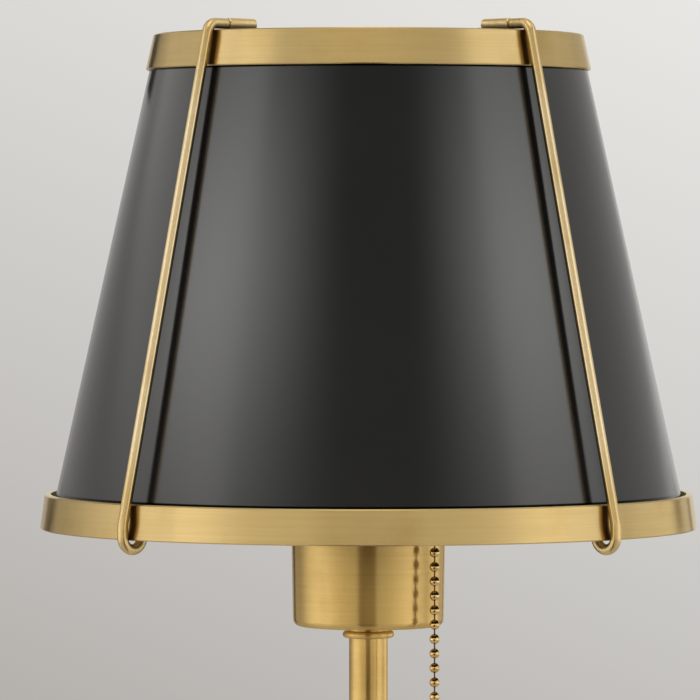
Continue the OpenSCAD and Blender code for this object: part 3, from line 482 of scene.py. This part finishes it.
# Name, azimuths and elevations in degrees, distance in metres and light of each card, and for some of
# them the soft shares and whether they follow the shade
CARDS = (
    # The front of the studio, dark at the height that the shade mirrors, with a dark gap before the cup
    ("card_front", (-60, 60), (13, 44), 2.8, (0.14, 0.14, 0.14), (0.08, 0.1)),
    ("card_top", (-60, 60), (44, 88), 2.75, (2.25, 2.07, 1.62), (0.25, 0.2)),
    ("card_low_left", (-84, -6), (-64, -6), 2.7, (0.85, 0.79, 0.64), (0.5, 0.0)),
    ("card_low_right", (11, 84), (-64, -6), 2.7, (0.85, 0.79, 0.64), (0.5, 0.0)),
    ("card_mid_left", (-70, -6), (-6, 13), 2.7, (1.34, 1.25, 1.02)),
    ("card_mid", (-6, 11), (2, 13), 2.7, (1.60, 1.49, 1.21)),
    ("card_mid_right", (11, 70), (-6, 13), 2.7, (1.18, 1.10, 0.90)),
    ("near_gap", (-18, 14), (-62, -17.5), 0.26, (0.07, 0.035, 0.002), (0.2, 0.0)),
    # Highlights: skirts for the cup and bands, glows for the shade's wall, strips for the rods
    ("skirt_left", (-132, -30), (-40, 5), 2.62, (1.90, 1.85, 1.76), (0.5, 0.12)),
    ("skirt_right", (22, 114), (-40, 5), 2.62, (1.70, 1.66, 1.58), (0.5, 0.12)),
    ("glow_left", (-128, -8), (-5.4, 3.8), 2.6, (3.15, 3.14, 3.11), (0.5, 0.5), True),
    ("glow_right", (17, 120), (-5.4, 3.8), 2.6, (2.8, 2.79, 2.76), (0.5, 0.5), True),
    ("strip_left", (-98, -88), (28, 75), 2.55, (2.3, 2.25, 2.1)),
    ("strip_right", (91, 101), (28, 75), 2.55, (2.1, 2.05, 1.95)),
    # The sides of the studio
    ("dim_left", (-145, -98), (24, 75), 2.48, (0.35, 0.34, 0.32), (0.1, 0.1)),
    ("dim_right", (100, 125), (24, 75), 2.48, (0.5, 0.49, 0.46), (0.1, 0.1)),
    ("side_left", (-142, -86), (8.5, 21), 2.45, (1.04, 1.025, 1.0), (0.25, 0.35)),
    ("side_right", (92, 165), (2, 22), 2.45, (0.52, 0.51, 0.49), (0.12, 0.1)),
    ("sill_right", (96, 142), (-42, 2), 2.45, (1.4, 1.36, 1.3), (0.3, 0.06)),
    # The studio's dark edges, which the bands' ends mirror, with a slot where the shade would mirror them
    ("edge_left_low", (-157, -147), (-70, 0), 2.5, BLACK),
    ("edge_left_high", (-157, -147), (11, 80), 2.5, BLACK),
    ("edge_right_low", (131, 137), (-70, 0), 2.5, BROWN),
    ("edge_right_high", (131, 137), (11, 80), 2.5, BROWN),
    ("edge_far_low", (152, 157), (-70, 0), 2.5, BROWN),
    ("edge_far_high", (152, 157), (11, 80), 2.5, BROWN),
    # Small dark flags close to the bands, for narrow lines near their ends
    ("flag_left", (-115.5, -107.5), (-23, -18.5), 0.17, BLACK),
    ("flag_right", (101, 107), (-23, -18.5), 0.17, BROWN),
    ("flag_top_left", (-135.7, -123.3), (26.4, 36), 0.17, BLACK),
)
for row in CARDS:
    card(*row)

FLOOR_Z = -0.62
FLOOR_R = 7.0
FLOOR_FADE = (4.5, 6.9)


def make_floor():
    """A pale round floor that fades out at its edge and is clear from below."""
    rings, sectors = 14, 96
    verts, faces = [(0.0, 0.0, 0.0)], []
    for i in range(1, rings + 1):
        for j in range(sectors):
            a = 2 * math.pi * j / sectors
            verts.append((FLOOR_R * i / rings * math.cos(a), FLOOR_R * i / rings * math.sin(a), 0.0))
    for j in range(sectors):
        faces.append((0, 1 + j, 1 + (j + 1) % sectors))
    for i in range(rings - 1):
        for j in range(sectors):
            a, b = 1 + i * sectors + j, 1 + i * sectors + (j + 1) % sectors
            faces.append((a, a + sectors, b + sectors, b))
    mesh = bpy.data.meshes.new("floor")
    mesh.from_pydata(verts, [], faces)
    s = Shader("floor")
    here = s.place()
    mottle = s.noise(here, 3.0, detail=3.0)
    s.set(Base_Color=s.mix(mottle, *FLOOR), Roughness=s.ramp(mottle, MIDDLE, (0.7, 0.8)))
    edge = s.ramp(s.vector("LENGTH", here), FLOOR_FADE)
    below = s.add("ShaderNodeNewGeometry").outputs["Backfacing"]
    s.show(s.blend(s.math("MAXIMUM", edge, below), s.bsdf, s.add("ShaderNodeBsdfTransparent")))
    mesh.materials.append(s.mat)
    obj = bpy.data.objects.new("floor", mesh)
    obj.location = (AXIS.x, AXIS.y, FLOOR_Z)
    scene.collection.objects.link(obj)


make_floor()

# The backdrop grows paler along this way, over this span of it
BACKDROP_WAY = (2.233, 0.0, 5.507)
BACKDROP_SPAN = (-0.6204, 0.3796)
ROOM_STRENGTH = 0.5


def make_world():
    """A pale grey backdrop for what the camera, metal and glass see, and an even light for the rest."""
    world = bpy.data.worlds.new("studio")
    scene.world = world
    world.use_nodes = True
    g = Graph(world.node_tree)
    g.tree.nodes.clear()
    way = g.vector("DOT_PRODUCT", g.coords("Generated"), BACKDROP_WAY)
    seen = g.add("ShaderNodeBackground")
    g.link(g.shades(way, BACKDROP_SPAN, BACKDROP), seen.inputs["Color"])
    light = g.add("ShaderNodeBackground")
    light.inputs["Color"].default_value = ROOM_LIGHT
    light.inputs["Strength"].default_value = ROOM_STRENGTH
    path = g.add("ShaderNodeLightPath").outputs
    mirrored = g.math("MAXIMUM", path["Is Camera Ray"], path["Is Glossy Ray"])
    shown = g.math("MAXIMUM", mirrored, path["Is Transmission Ray"])
    g.link(g.blend(shown, light, seen), g.add("ShaderNodeOutputWorld").inputs[0])


make_world()
